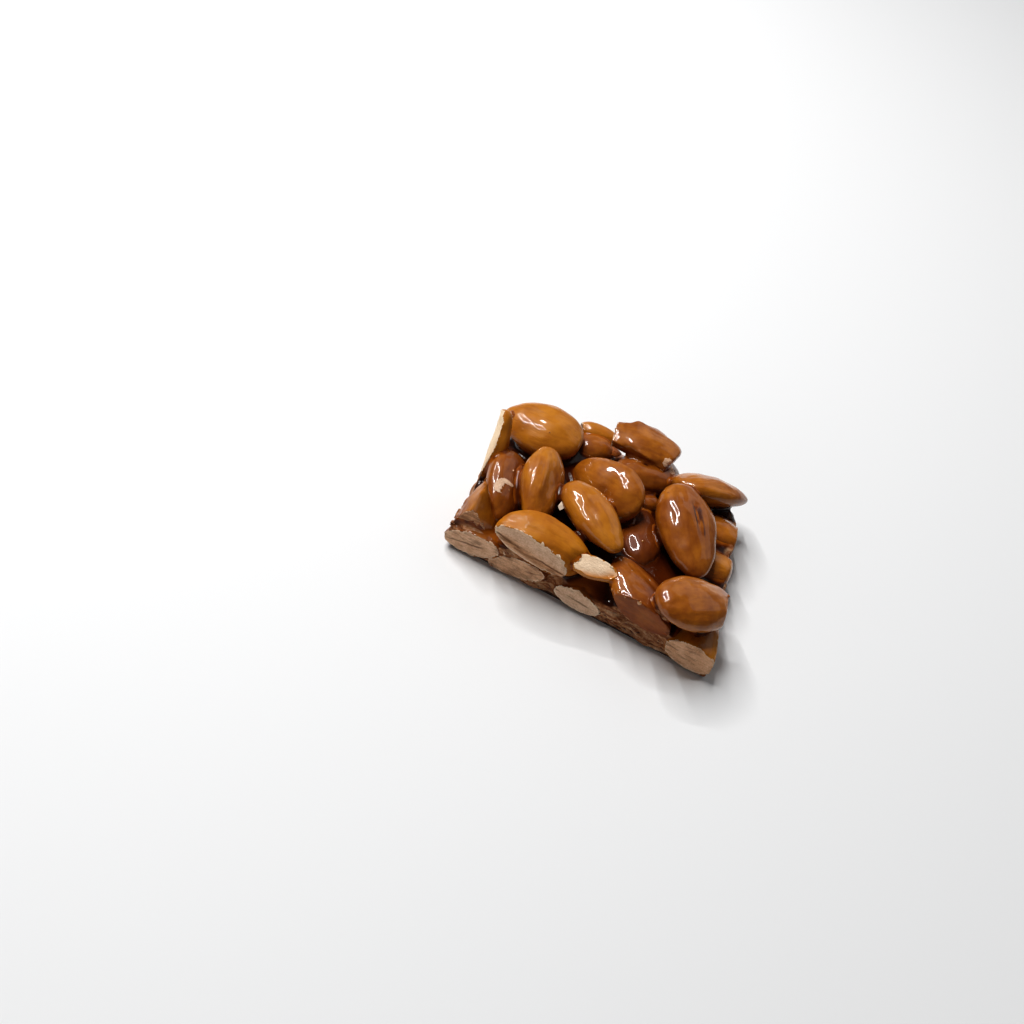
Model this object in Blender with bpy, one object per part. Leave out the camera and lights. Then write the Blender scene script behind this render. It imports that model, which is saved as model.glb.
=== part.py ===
"""A hand-cut piece of almond nougat of the brown, glassy kind: whole roasted almonds set in hard caramel.

Blender script, metres, +Z up. The piece lies flat on its poured side. The knife-cut front faces -Y,
the two knife-cut ends face -X and +X, and the poured edge of the tray faces +Y.
Lengths below are in millimetres and angles in degrees until they reach Blender.
"""

import math

import bmesh
import bpy
import numpy as np
from mathutils import Euler, Matrix, Vector

MM = 0.001

# Driving dimensions of the slab
FRONT_LEFT = Vector((-32.5, -17.0))
FRONT_RIGHT = Vector((38.0, -17.0))
BACK_RIGHT = Vector((27.2, 31.0))
BACK_LEFT = Vector((-35.5, 27.0))
CARAMEL_TOP = 7.8
CARAMEL_RISE = 2.2
RISE_WIDTH = 9.0
CARAMEL_WAVE = 0.9
BACK_WAVE = 1.2
BACK_ROUND = 1.6

# Every kernel keeps this gap to its neighbours and to the caramel around it
GAP = 0.3
# and the room made for a sliced kernel runs this far past the knife cut
PAST_CUT = 0.9

# Mesh of one kernel: points round it, and rings from its blunt end to its tip
ROUND = 10
RINGS = 7
TAPER = 0.16
POINTED = 0.10


def knife_cut(start, end, outward=0.0):
    """Point and outward normal of an upright knife cut over the line start to end, seen from above."""
    run = (end - start).normalized()
    normal = Vector((run.y, -run.x, 0.0))
    return Vector((*start, 0.0)) + normal * outward, normal


FRONT = knife_cut(FRONT_LEFT, FRONT_RIGHT)
FRONT_BROKEN = knife_cut(FRONT_LEFT, FRONT_RIGHT, -2.0)
RIGHT = knife_cut(FRONT_RIGHT, BACK_RIGHT)
RIGHT_INSET = knife_cut(FRONT_RIGHT, BACK_RIGHT, -0.8)
LEFT = knife_cut(BACK_LEFT, FRONT_LEFT)
# The bevelled end of the front left kernel, which a sliver lies on
BEVEL = (Vector((-1.1, -13.9, 14.7)), Vector((0.78, -0.50, 0.33)))
# The broken long side of the standing splinter
SPLINTER_SIDE = (Vector((-33.8, 3.8, 16.2)), Vector((-0.975, -0.220, 0.022)))


def plane(point, heading, rise):
    """A fracture through point, in the piece's own axes: its outward normal by heading and rise."""
    flat = math.cos(math.radians(rise))
    turn = math.radians(heading)
    return point, (flat * math.cos(turn), flat * math.sin(turn), math.sin(math.radians(rise)))


# name: centre, (yaw of the tip, its rise, roll about the length), (length, width, thickness), knife cuts
ALMONDS = {
    # upper layer, from the front left to the back right
    "almond_front_left": ((-9.0, -14.3, 12.8), (10, -5, 20), (25.0, 15.0, 8.3), (FRONT, BEVEL)),
    "almond_front_right": ((15.6, -12.5, 10.2), (140, 5, 15), (23.5, 14.2, 8.0), (FRONT,)),
    "almond_right_corner": ((28.5, -9.5, 14.0), (45, -15, 5), (24.0, 14.5, 8.2), (RIGHT_INSET,)),
    "almond_left_shaded": ((-25.5, -1.5, 11.5), (285, -5, -40), (22.5, 12.0, 7.5), ()),
    "almond_left_upright": ((-17.5, 1.5, 14.0), (285, -10, -35), (23.5, 12.5, 8.0), ()),
    "almond_middle_crossing": ((-2.5, -1.0, 15.5), (325, 0, -5), (23.0, 11.8, 8.0), ()),
    "almond_middle_broad": ((-4.0, 12.0, 13.5), (155, -10, -40), (22.5, 15.0, 7.8), ()),
    "almond_middle_sunken": ((8.5, 6.0, 8.8), (110, 0, -10), (20.0, 11.5, 7.2), ()),
    "almond_right_scarred": ((18.3, 9.8, 15.0), (305, -10, 0), (26.5, 15.0, 8.2), ()),
    "almond_back_left": ((-26.0, 19.7, 14.2), (185, 0, -8), (22.0, 16.2, 8.4), ()),
    "almond_back_middle": ((1.8, 25.3, 11.2), (230, 10, 0), (21.0, 13.5, 8.0), ()),
    "almond_back_right": ((18.5, 29.0, 12.6), (35, -15, -35), (22.5, 13.5, 7.2), ()),
    "almond_back_gap": ((-12.9, 26.4, 10.2), (20, 0, 10), (11.0, 8.4, 5.8), ()),
    # lower layer, cut open at the front
    "almond_cut_front_1": ((-25.6, -14.5, 4.6), (95, 0, -14), (22.0, 15.0, 7.0), (FRONT, LEFT)),
    "almond_cut_front_2": ((-14.4, -11.8, 4.7), (115, 0, -16), (22.0, 16.0, 7.0), (FRONT,)),
    "almond_cut_front_3": ((3.3, -13.0, 4.0), (85, 0, 5), (22.0, 13.2, 6.4), (FRONT,)),
    "almond_cut_front_4": ((32.2, -13.0, 4.9), (95, 0, 5), (22.0, 13.6, 8.6), (FRONT, RIGHT)),
    # lower layer, at the ends and along the back
    "almond_cut_right_1": ((27.4, 9.4, 6.8), (12, 0, 0), (17.0, 10.4, 8.6), (RIGHT,)),
    "almond_cut_right_2": ((25.0, 20.6, 7.6), (10, 0, 6), (17.0, 11.4, 8.6), (RIGHT,)),
    "almond_cut_left": ((-31.0, 12.0, 4.4), (80, 0, 5), (21.0, 13.0, 7.2), (LEFT,)),
    "almond_under_left": ((-17.0, 18.5, 4.5), (145, 0, 0), (22.0, 13.5, 7.4), ()),
    "almond_under_middle": ((-1.0, 13.5, 4.1), (95, 0, -5), (22.0, 13.5, 7.2), ()),
    "almond_under_back": ((-3.6, 28.9, 4.9), (10, 0, 0), (20.0, 10.4, 8.0), ()),
    "almond_under_corner": ((-24.2, 26.4, 4.9), (176, 0, 8), (20.0, 10.0, 7.2), ()),
    "almond_under_right": ((13.0, 24.0, 4.3), (65, 0, 0), (21.0, 13.5, 7.4), ()),
    "almond_under_front": ((19.0, -2.0, 4.1), (20, 0, 5), (21.0, 13.0, 7.0), ()),
}

# name: centre, turn, kernel it broke from, fractures in the fragment's own axes, knife cuts
FRAGMENTS = {
    # a kernel's end standing on its fracture, tip up
    "broken_end_standing": (
        (-26.9, -12.4, 9.3),
        (120, 72, 0),
        (22.0, 11.5, 7.4),
        (plane((-3.5, 0, 0), 180, 0), plane((8.6, 0.4, 0), 64, 0), plane((9.0, -0.6, 0), -72, 0)),
        (FRONT_BROKEN,),
    ),
    # a long splinter leaning back against the kernel behind it, its fracture to the front left
    "splinter_standing": (
        (-34.0, 5.0, 15.2),
        (89, 51, 24),
        (20.0, 9.4, 7.4),
        (plane((0, 0.7, 0.9), 90, 25), plane((0, 0, -1.4), 0, -90), plane((-7.8, 0, 0), 180, 10)),
        (SPLINTER_SIDE,),
    ),
    # the outer half of a kernel, broken to a curved shell
    "shell_back": (
        (-2.3, 29.8, 14.8),
        (6, 0, 8),
        (24.0, 15.5, 8.4),
        (
            plane((0, 0, 0.4), 0, -90),
            plane((-7.6, 0, 0), 186, 0),
            plane((-3.6, 4.4, 0), 118, 0),
            plane((9.5, 0, 0), -22, 0),
            plane((0, -4.6, 0), 264, 0),
        ),
        (),
    ),
    "sliver_back": (
        (-14.2, 31.4, 10.8),
        (14, 0, 0),
        (12.0, 6.0, 5.0),
        (plane((0, 0, -0.6), 0, -90), plane((-4.5, 0, 0), 200, 0)),
        (),
    ),
    "sliver_front": (
        (3.7, -13.5, 13.0),
        (12, -3, 0),
        (12.4, 5.8, 5.0),
        (
            plane((-4.9, 0, 0), 180, 5),
            plane((0, 0, 1.1), -90, 72),
            plane((0, 0, -1.5), 0, -90),
        ),
        (),
    ),
    "chip_middle": (
        (6.4, 17.5, 9.6),
        (30, 0, 0),
        (8.0, 6.0, 4.4),
        (plane((2.4, 0, 0), 10, 0), plane((-2.4, 0, 0), 190, 0)),
        (),
    ),
}

SKIN = {"roast": (0.46, 0.17, 0.035), "dark": (0.26, 0.08, 0.015)}
CARAMEL_COLOUR = (0.13, 0.035, 0.008)


def clear_scene():
    for thing in list(bpy.data.objects):
        bpy.data.objects.remove(thing, do_unlink=True)


def finish(name, colour, roughness):
    """A glossy food material with the sub-part's own colour."""
    material = bpy.data.materials.new(name)
    material.use_nodes = True
    shader = material.node_tree.nodes["Principled BSDF"]
    shader.inputs["Base Color"].default_value = (*colour, 1.0)
    shader.inputs["Roughness"].default_value = roughness
    shader.inputs["Metallic"].default_value = 0.0
    return material


def kernel(size, grow=0.0):
    """A closed kernel about the origin: blunt end at -X, tip at +X, flat in Z, grown by a margin."""
    length, width, thickness = (side + 2.0 * grow for side in size)
    mesh = bmesh.new()
    stations = [-math.cos(math.pi * ring / RINGS) for ring in range(1, RINGS)]
    girths = [
        math.sqrt(1.0 - at * at) * (1.0 - TAPER * at - POINTED * at * at) for at in stations
    ]
    widest = max(girths)
    loops = []
    for at, girth in zip(stations, girths):
        loop = []
        for step in range(ROUND):
            turn = 2.0 * math.pi * (step + 0.5) / ROUND
            across = math.cos(turn) * width / 2.0 * girth / widest
            up = math.sin(turn) * thickness / 2.0 * girth / widest
            loop.append(mesh.verts.new((at * length / 2.0, across, up)))
        loops.append(loop)
    blunt = mesh.verts.new((-length / 2.0, 0.0, 0.0))
    tip = mesh.verts.new((length / 2.0, 0.0, 0.0))
    for step in range(ROUND):
        after = (step + 1) % ROUND
        mesh.faces.new((blunt, loops[0][after], loops[0][step]))
        mesh.faces.new((tip, loops[-1][step], loops[-1][after]))
        for near, far in zip(loops, loops[1:]):
            mesh.faces.new((near[step], near[after], far[after], far[step]))
    bmesh.ops.recalc_face_normals(mesh, faces=mesh.faces)
    return mesh


def slice_off(mesh, point, outward, past=0.0):
    """Cuts away what lies beyond the plane, moved out by a margin, and closes the cut with one face."""
    outward = Vector(outward).normalized()
    found = bmesh.ops.bisect_plane(
        mesh,
        geom=[*mesh.verts, *mesh.edges, *mesh.faces],
        dist=1e-4,
        plane_co=Vector(point) + outward * past,
        plane_no=outward,
        clear_outer=True,
    )
    rim = [item for item in found["geom_cut"] if isinstance(item, bmesh.types.BMEdge)]
    if rim:
        bmesh.ops.contextual_create(mesh, geom=rim)
    bmesh.ops.recalc_face_normals(mesh, faces=mesh.faces)


def placed(centre, turn):
    """Matrix that puts a kernel's own axes in the slab, in millimetres."""
    yaw, rise, roll = (math.radians(angle) for angle in turn)
    return Matrix.Translation(centre) @ Euler((roll, -rise, yaw), "XYZ").to_matrix().to_4x4()


def almond_mesh(centre, turn, size, cuts, grow=0.0, past=0.0):
    mesh = kernel(size, grow)
    mesh.transform(placed(centre, turn))
    for point, outward in cuts:
        slice_off(mesh, point, outward, past)
    return mesh


def fragment_mesh(centre, turn, size, fractures, cuts, grow=0.0):
    mesh = kernel(size, grow)
    for point, outward in fractures:
        slice_off(mesh, point, outward, grow)
    mesh.transform(placed(centre, turn))
    for point, outward in cuts:
        slice_off(mesh, point, outward, grow)
    return mesh


def add(name, mesh, material=None):
    """Turns a mesh in millimetres into an object in metres."""
    mesh.transform(Matrix.Scale(MM, 4))
    data = bpy.data.meshes.new(name)
    mesh.to_mesh(data)
    mesh.free()
    thing = bpy.data.objects.new(name, data)
    bpy.context.scene.collection.objects.link(thing)
    data.shade_smooth()
    data.set_sharp_from_angle(angle=math.radians(50.0))
    if material:
        data.materials.append(material)
    return thing


def add_cutter(name, mesh):
    cutter = add(name, mesh)
    cutter.hide_render = True
    cutter.display_type = "WIRE"
    return cutter


def near(first, second):
    """Whether two objects' boxes meet."""
    boxes = []
    for thing in (first, second):
        corners = np.array([vertex.co for vertex in thing.data.vertices])
        boxes.append((corners.min(axis=0), corners.max(axis=0)))
    (low, high), (other_low, other_high) = boxes
    return bool((low < other_high).all() and (other_low < high).all())


def carve(thing, cutter):
    cut = thing.modifiers.new("clear_of_" + cutter.name, "BOOLEAN")
    cut.operation = "DIFFERENCE"
    cut.solver = "EXACT"
    cut.object = cutter


def slab_outline():
    """The slab from above, anticlockwise: three knife cuts, and the wavy poured edge along the back."""
    corners = [FRONT_LEFT, FRONT_RIGHT, BACK_RIGHT, BACK_LEFT]
    steps = (16, 10, 16, 10)
    outline = []
    for side, count in enumerate(steps):
        start, end = corners[side], corners[(side + 1) % 4]
        for step in range(count):
            share = step / count
            point = start.lerp(end, share)
            poured = side == 2
            if poured:
                wave = math.sin(3.0 * math.pi * share) + 0.5 * math.sin(7.0 * math.pi * share)
                point.y += BACK_WAVE * wave
            outline.append((point, 1.0 if poured and step else 0.0))
    return outline


def caramel_height(x, y):
    """Height of the caramel: lower along the edges, waved, a little higher towards the back left."""
    left = min(FRONT_LEFT.x, BACK_LEFT.x)
    right = max(FRONT_RIGHT.x, BACK_RIGHT.x)
    inset = min(x - left, right - x, y - FRONT_LEFT.y, BACK_RIGHT.y - y)
    share = min(max(inset / RISE_WIDTH, 0.0), 1.0)
    rise = CARAMEL_RISE * share * share * (3.0 - 2.0 * share)
    wave = math.sin(x / 7.0 + 0.6) * math.cos(y / 6.0) + 0.5 * math.sin(x / 3.7 - y / 4.9)
    return CARAMEL_TOP + rise - 0.02 * x + 0.02 * y + CARAMEL_WAVE * wave / 1.5


def caramel_slab():
    """Closed slab: a flat underside, upright cut sides, a rounded back and a gently waved top."""
    mesh = bmesh.new()
    outline = slab_outline()
    middle = sum((point for point, _ in outline), Vector((0.0, 0.0))) / len(outline)
    loops = []
    for share, inset in ((0.0, BACK_ROUND), (0.5, 0.0), (1.0, BACK_ROUND)):
        loop = []
        for point, poured in outline:
            inward = (middle - point).normalized() * inset * poured
            x, y = point + inward
            loop.append(mesh.verts.new((x, y, share * caramel_height(x, y))))
        loops.append(loop)
    for scale in (0.8, 0.6, 0.4, 0.2):
        loop = []
        for point, _ in outline:
            x, y = middle.lerp(point, scale)
            loop.append(mesh.verts.new((x, y, caramel_height(x, y))))
        loops.append(loop)
    count = len(outline)
    for near_loop, far_loop in zip(loops, loops[1:]):
        for step in range(count):
            after = (step + 1) % count
            mesh.faces.new(
                (near_loop[step], near_loop[after], far_loop[after], far_loop[step])
            )
    mesh.faces.new(list(reversed(loops[0])))
    peak = mesh.verts.new((middle.x, middle.y, caramel_height(*middle)))
    for step in range(count):
        mesh.faces.new((loops[-1][step], loops[-1][(step + 1) % count], peak))
    bmesh.ops.recalc_face_normals(mesh, faces=mesh.faces)
    return mesh


def keep_largest(thing):
    """Applies the cuts and drops crumbs of caramel that they cut loose."""
    graph = bpy.context.evaluated_depsgraph_get()
    data = bpy.data.meshes.new_from_object(thing.evaluated_get(graph))
    thing.modifiers.clear()
    mesh = bmesh.new()
    mesh.from_mesh(data)
    left = set(mesh.verts)
    islands = []
    while left:
        island, frontier = set(), [left.pop()]
        while frontier:
            vertex = frontier.pop()
            island.add(vertex)
            for edge in vertex.link_edges:
                other = edge.other_vert(vertex)
                if other in left:
                    left.discard(other)
                    frontier.append(other)
        islands.append(island)
    islands.sort(key=len)
    for island in islands[:-1]:
        bmesh.ops.delete(mesh, geom=list(island), context="VERTS")
    mesh.to_mesh(data)
    mesh.free()
    thing.data = data


def stand_on_centre(things, origin):
    """Moves the whole piece by its empty, so that the origin is under the middle of its box."""
    bpy.context.view_layer.update()
    graph = bpy.context.evaluated_depsgraph_get()
    corners = []
    for thing in things:
        evaluated = thing.evaluated_get(graph)
        corners += [Vector(corner) for corner in evaluated.bound_box]
    for axis in (0, 1):
        reach = [corner[axis] for corner in corners]
        origin.location[axis] = -(min(reach) + max(reach)) / 2.0


clear_scene()

origin = bpy.data.objects.new("origin", None)
bpy.context.scene.collection.objects.link(origin)

pieces = []
cutters = []
for name, (centre, turn, size, cuts) in ALMONDS.items():
    tone = "dark" if "shaded" in name or "sunken" in name else "roast"
    skin = finish(name, SKIN[tone], 0.25)
    pieces.append(add(name, almond_mesh(centre, turn, size, cuts), skin))
    room = almond_mesh(centre, turn, size, cuts, GAP, PAST_CUT)
    cutters.append(add_cutter(name + "_room", room))
for name, (centre, turn, size, fractures, cuts) in FRAGMENTS.items():
    skin = finish(name, SKIN["roast"], 0.35)
    pieces.append(add(name, fragment_mesh(centre, turn, size, fractures, cuts), skin))
    room = fragment_mesh(centre, turn, size, fractures, cuts, GAP)
    cutters.append(add_cutter(name + "_room", room))

# Where two kernels press together, the later one gives way and keeps its gap
for index, piece in enumerate(pieces):
    for cutter in cutters[:index]:
        if near(piece, cutter):
            carve(piece, cutter)

caramel = add("caramel", caramel_slab(), finish("caramel", CARAMEL_COLOUR, 0.1))
for cutter in cutters:
    if near(caramel, cutter):
        carve(caramel, cutter)
keep_largest(caramel)

for thing in (*pieces, *cutters, caramel):
    thing.parent = origin
stand_on_centre((*pieces, caramel), origin)
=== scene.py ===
"""A hand-cut piece of brown almond nougat: whole roasted almonds set in hard, glassy caramel.

Metres, +Z up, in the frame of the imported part. The piece lies flat on its poured side, with its knife-cut
front towards -Y. Sections follow the order it is made in: whole kernels, broken kernels, caramel, torn
caramel, bubbles, loose shards, studio.
"""

import math

import bmesh
import bpy
import numpy as np
from mathutils import Matrix, Vector, noise
from mathutils.bvhtree import BVHTree
from mathutils.kdtree import KDTree


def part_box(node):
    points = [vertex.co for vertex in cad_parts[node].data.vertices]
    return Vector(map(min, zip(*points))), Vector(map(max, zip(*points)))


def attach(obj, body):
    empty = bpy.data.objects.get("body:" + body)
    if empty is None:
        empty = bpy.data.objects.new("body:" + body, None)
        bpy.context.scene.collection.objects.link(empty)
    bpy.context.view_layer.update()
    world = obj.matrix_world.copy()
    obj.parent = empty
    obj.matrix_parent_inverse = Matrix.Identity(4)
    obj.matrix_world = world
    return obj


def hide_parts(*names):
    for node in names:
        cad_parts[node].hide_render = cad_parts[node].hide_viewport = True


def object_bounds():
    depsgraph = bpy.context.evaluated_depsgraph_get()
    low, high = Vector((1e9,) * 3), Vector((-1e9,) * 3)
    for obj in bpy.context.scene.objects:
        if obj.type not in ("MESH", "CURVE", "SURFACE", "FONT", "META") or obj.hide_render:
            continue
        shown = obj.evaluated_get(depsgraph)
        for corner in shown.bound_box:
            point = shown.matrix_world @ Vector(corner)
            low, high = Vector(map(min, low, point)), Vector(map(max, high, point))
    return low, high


MM = 0.001

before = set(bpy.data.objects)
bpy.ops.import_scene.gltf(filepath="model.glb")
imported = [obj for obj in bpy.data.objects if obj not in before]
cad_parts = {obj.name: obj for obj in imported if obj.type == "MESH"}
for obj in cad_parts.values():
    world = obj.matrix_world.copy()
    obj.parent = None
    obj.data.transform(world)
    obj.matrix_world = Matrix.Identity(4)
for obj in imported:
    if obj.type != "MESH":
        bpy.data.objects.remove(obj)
part_low, part_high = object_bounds()


# Whole kernels
# Roasted almonds with their skins on, 22 to 26 mm long, stirred into the caramel while it is hot. Each
# carries a film of it, and those along three sides are sliced through by the knife.

# name: how brown it is, how thick its film is, how much caramel the knife dragged over its cut, and how
# far clear caramel sealed the cut again, each from 0 to about 1
KERNELS = {
    "almond_front_left": (0.22, 0.04, 0.12, 0.0),
    "almond_front_right": (0.62, 0.95, 0.7, 1.0),
    "almond_right_corner": (0.50, 0.5, 0.0, 1.0),
    "almond_left_shaded": (0.66, 0.75, 0.0, 0.0),
    "almond_left_upright": (0.25, 0.5, 0.0, 0.0),
    "almond_middle_crossing": (0.15, 0.4, 0.0, 0.0),
    "almond_middle_broad": (0.40, 0.6, 0.0, 0.0),
    # its high roast darkens this kernel: partly its own brown, partly painted shade where it lies sunk
    # between the others
    "almond_middle_sunken": (1.05, 0.3, 0.0, 0.0),
    "almond_right_scarred": (0.55, 0.55, 0.0, 0.0),
    "almond_back_left": (0.12, 0.25, 0.0, 0.0),
    "almond_back_middle": (0.50, 0.75, 0.0, 0.0),
    "almond_back_right": (0.40, 0.4, 0.0, 0.0),
    "almond_back_gap": (0.45, 0.6, 0.0, 0.0),
    "almond_cut_front_1": (0.50, 0.6, 0.40, 0.0),
    "almond_cut_front_2": (0.45, 0.6, 0.60, 0.0),
    "almond_cut_front_3": (0.50, 0.6, 0.10, 0.0),
    "almond_cut_front_4": (0.10, 0.2, 0.60, 0.0),
    "almond_cut_right_1": (0.15, 0.4, 0.2, 0.9),
    "almond_cut_right_2": (0.30, 0.6, 0.3, 0.8),
    "almond_cut_left": (0.40, 0.6, 0.4, 0.0),
    "almond_under_left": (0.40, 0.7, 0.0, 0.0),
    "almond_under_middle": (0.55, 0.7, 0.0, 0.0),
    "almond_under_back": (0.45, 0.7, 0.0, 0.0),
    "almond_under_corner": (0.50, 0.7, 0.0, 0.0),
    "almond_under_right": (0.60, 0.7, 0.0, 0.0),
    "almond_under_front": (0.50, 0.7, 0.0, 0.0),
}
LOOKS = ("roast", "film", "smeared", "sealed")
SLICED_FROM = 35.0 * MM * MM
LUMP_HEIGHT = 1.3 * MM
WRINKLE_HEIGHT = 0.8 * MM
SLICED_HEIGHT = 0.5 * MM
ROUNDING_STEPS = 3
FITTING_ROUNDS = 4
# a tip, where this many edges meet, isn't moved by the fitting, and another corner only so far
TIP_EDGES = 8
MOST_MOVED = 0.6 * MM
# what stands further proud of the CAD solid than this is drawn in to a share of the rest
MOST_PROUD = 0.5 * MM
PROUD_SHARE_LEFT = 0.2


class Wire:
    """An output of a node. Arithmetic on wires adds the Math nodes that do it."""

    def __init__(self, tree, socket=None):
        self.tree = tree
        self.socket = socket

    def node(self, kind, settings=None, sockets=None, output=0):
        """Adds a node: its settings first, then a value or a wire for each of its sockets."""
        added = self.tree.nodes.new(kind)
        for name, value in (settings or {}).items():
            if name == "stops":
                stops = added.color_ramp.elements
                while len(stops) > 1:
                    stops.remove(stops[-1])
                for index, (at, colour) in enumerate(value):
                    stop = stops[0] if index == 0 else stops.new(at)
                    stop.position = at
                    stop.color = (*colour, 1.0)
            else:
                setattr(added, name, value)
        for key, value in (sockets or {}).items():
            if isinstance(value, Wire):
                value.into(added.inputs[key])
            else:
                added.inputs[key].default_value = value
        return Wire(self.tree, added.outputs[output])

    def into(self, socket):
        self.tree.links.new(self.socket, socket)

    def math(self, operation, *others):
        values = dict(enumerate((self, *others)))
        return self.node("ShaderNodeMath", {"operation": operation}, values)

    def __add__(self, other):
        return self.math("ADD", other)

    __radd__ = __add__

    def __sub__(self, other):
        return self.math("SUBTRACT", other)

    def __rsub__(self, other):
        return self.node("ShaderNodeMath", {"operation": "SUBTRACT"}, {0: other, 1: self})

    def __mul__(self, other):
        return self.math("MULTIPLY", other)

    __rmul__ = __mul__

    def vector(self, operation, *others, output=0):
        values = dict(enumerate((self, *others)))
        return self.node("ShaderNodeVectorMath", {"operation": operation}, values, output)

    def scaled(self, amount):
        return self.node("ShaderNodeVectorMath", {"operation": "SCALE"}, {0: self, "Scale": amount})

    def band(self, low, high):
        """0 below low and 1 above high, with a smooth step between."""
        sockets = {"Value": self, "From Min": low, "From Max": high}
        return self.node("ShaderNodeMapRange", {"interpolation_type": "SMOOTHSTEP"}, sockets)

    def grain(self, scale, detail=2.0, roughness=0.5, distortion=0.0):
        """Noise from 0 to 1 over this place."""
        sockets = {"Vector": self, "Scale": scale, "Detail": detail}
        sockets |= {"Roughness": roughness, "Distortion": distortion}
        return self.node("ShaderNodeTexNoise", None, sockets)

    def ramp(self, *stops):
        """A colour between stops, by this factor."""
        return self.node("ShaderNodeValToRGB", {"stops": stops}, {"Fac": self})

    def blend(self, first, second, kind="MIX"):
        """Mixes two colours by this factor."""
        settings = {"data_type": "RGBA", "blend_type": kind}
        return self.node("ShaderNodeMix", settings, {0: self, 6: first, 7: second}, 2)

    def painted(self, name, output="Fac"):
        """In a material, what paint() kept on the mesh under this name."""
        return self.node("ShaderNodeAttribute", {"attribute_name": name}, None, output)

    def kept(self, name, kind="FLOAT"):
        """In Geometry Nodes, what the mesh keeps under this name."""
        return self.node("GeometryNodeInputNamedAttribute", {"data_type": kind}, {"Name": name})

    def bump(self, strength=1.0):
        """The normal of a surface of this height in metres."""
        sockets = {"Strength": strength, "Distance": 1.0, "Height": self}
        return self.node("ShaderNodeBump", None, sockets)


def new_finish(name):
    """A material, its shader, a sheet to wire on, and the place on the object."""
    material = bpy.data.materials.new(name)
    material.use_nodes = True
    sheet = Wire(material.node_tree)
    here = sheet.node("ShaderNodeTexCoord", None, None, "Object")
    return material, material.node_tree.nodes["Principled BSDF"].inputs, sheet, here


def new_tree(name, inputs):
    """A Geometry Nodes tree with named inputs, as an empty sheet and a wire from each input."""
    tree = bpy.data.node_groups.new(name, "GeometryNodeTree")
    tree.interface.new_socket("Geometry", in_out="OUTPUT", socket_type="NodeSocketGeometry")
    for label, kind in {"Geometry": "Geometry", **inputs, "Finish": "Material"}.items():
        tree.interface.new_socket(label, in_out="INPUT", socket_type="NodeSocket" + kind)
    entry = tree.nodes.new("NodeGroupInput")
    return Wire(tree), {socket.name: Wire(tree, socket) for socket in entry.outputs}


def end_tree(geometry, finish, smooth):
    """Ends a Geometry Nodes tree in real geometry with its material set."""
    sockets = {"Geometry": geometry, "Shade Smooth": smooth}
    shaded = geometry.node("GeometryNodeSetShadeSmooth", None, sockets)
    single = shaded.node("GeometryNodeRealizeInstances", None, {"Geometry": shaded})
    done = single.node("GeometryNodeSetMaterial", None, {"Geometry": single, "Material": finish})
    done.into(done.tree.nodes.new("NodeGroupOutput").inputs["Geometry"])
    return done.tree


def give(modifier, **values):
    """Sets a Geometry Nodes modifier's inputs, by the identifiers of their sockets."""
    for item in modifier.node_group.interface.items_tree:
        name = item.name.replace(" ", "_").lower()
        if item.in_out == "INPUT" and name in values:
            modifier[item.identifier] = values[name]


def placed(name, data):
    """A new object in the scene, at the origin."""
    thing = bpy.data.objects.new(name, data)
    bpy.context.scene.collection.objects.link(thing)
    return thing


def plain(thing):
    """Makes an object's modifiers into plain mesh."""
    bpy.context.view_layer.update()
    graph = bpy.context.evaluated_depsgraph_get()
    data = bpy.data.meshes.new_from_object(thing.evaluated_get(graph), depsgraph=graph)
    data.name = thing.name
    thing.modifiers.clear()
    thing.data = data


def column(items, name, width=1):
    """One property of all of a mesh's points, faces or edges, as an array."""
    values = np.empty(len(items) * width)
    items.foreach_get(name, values)
    return values.reshape(-1, width) if width > 1 else values


def paint(data, name, values, width=1):
    """Keeps a number, or a vector for a width of 3, for each point of a mesh."""
    kind, field = ("FLOAT", "value") if width == 1 else ("FLOAT_VECTOR", "vector")
    layer = data.attributes.get(name) or data.attributes.new(name, kind, "POINT")
    layer.data.foreach_set(field, np.asarray(values, np.float32).ravel())


def in_box(node, at):
    """The point at these shares of a node's box."""
    low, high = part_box(node)
    return [low[side] + at[side] * (high[side] - low[side]) for side in range(3)]


def own_axes(mesh):
    """Middle, length, width and thickness directions of a closed mesh, from how its volume is spread."""
    points = np.array([vertex.co for vertex in mesh.verts])
    corners = np.array([[loop.vert.index for loop in loops] for loops in mesh.calc_loop_triangles()])
    first, second, third = (points[corners[:, side]] for side in range(3))
    volume = np.einsum("ij,ij->i", first, np.cross(second, third)) / 6.0
    middle = ((first + second + third) / 4.0 * volume[:, None]).sum(axis=0) / volume.sum()
    first, second, third = first - middle, second - middle, third - middle
    volume = np.einsum("ij,ij->i", first, np.cross(second, third)) / 6.0
    spread = np.einsum("i,ij,ik->jk", volume, first + second + third, first + second + third)
    for side in (first, second, third):
        spread = spread + np.einsum("i,ij,ik->jk", volume, side, side)
    _, directions = np.linalg.eigh(spread)
    return middle, directions[:, ::-1]


def merged(node):
    """A copy of a CAD solid with its loose triangles joined."""
    mesh = bmesh.new()
    mesh.from_mesh(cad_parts[node].data)
    bmesh.ops.remove_doubles(mesh, verts=mesh.verts, dist=0.002 * MM)
    return mesh


def cage_of(node, cut_faces, sharp_from=180.0):
    """A joined copy of a CAD solid, with its cut faces marked, and their rims and steep edges sharp."""
    mesh = merged(node)
    bmesh.ops.dissolve_limit(mesh, angle_limit=math.radians(1.0), verts=mesh.verts, edges=mesh.edges)
    mesh.verts.ensure_lookup_table()
    mesh.verts.index_update()
    sharp = mesh.edges.layers.float.new("crease_edge")
    flesh = mesh.faces.layers.float.new("cut_open")
    for edge in mesh.edges:
        if edge.calc_face_angle(0.0) > math.radians(sharp_from):
            edge[sharp] = 0.9
    for face in mesh.faces:
        if cut_faces(face):
            face[flesh] = 1.0
            for edge in face.edges:
                edge[sharp] = 1.0
    return mesh


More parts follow.
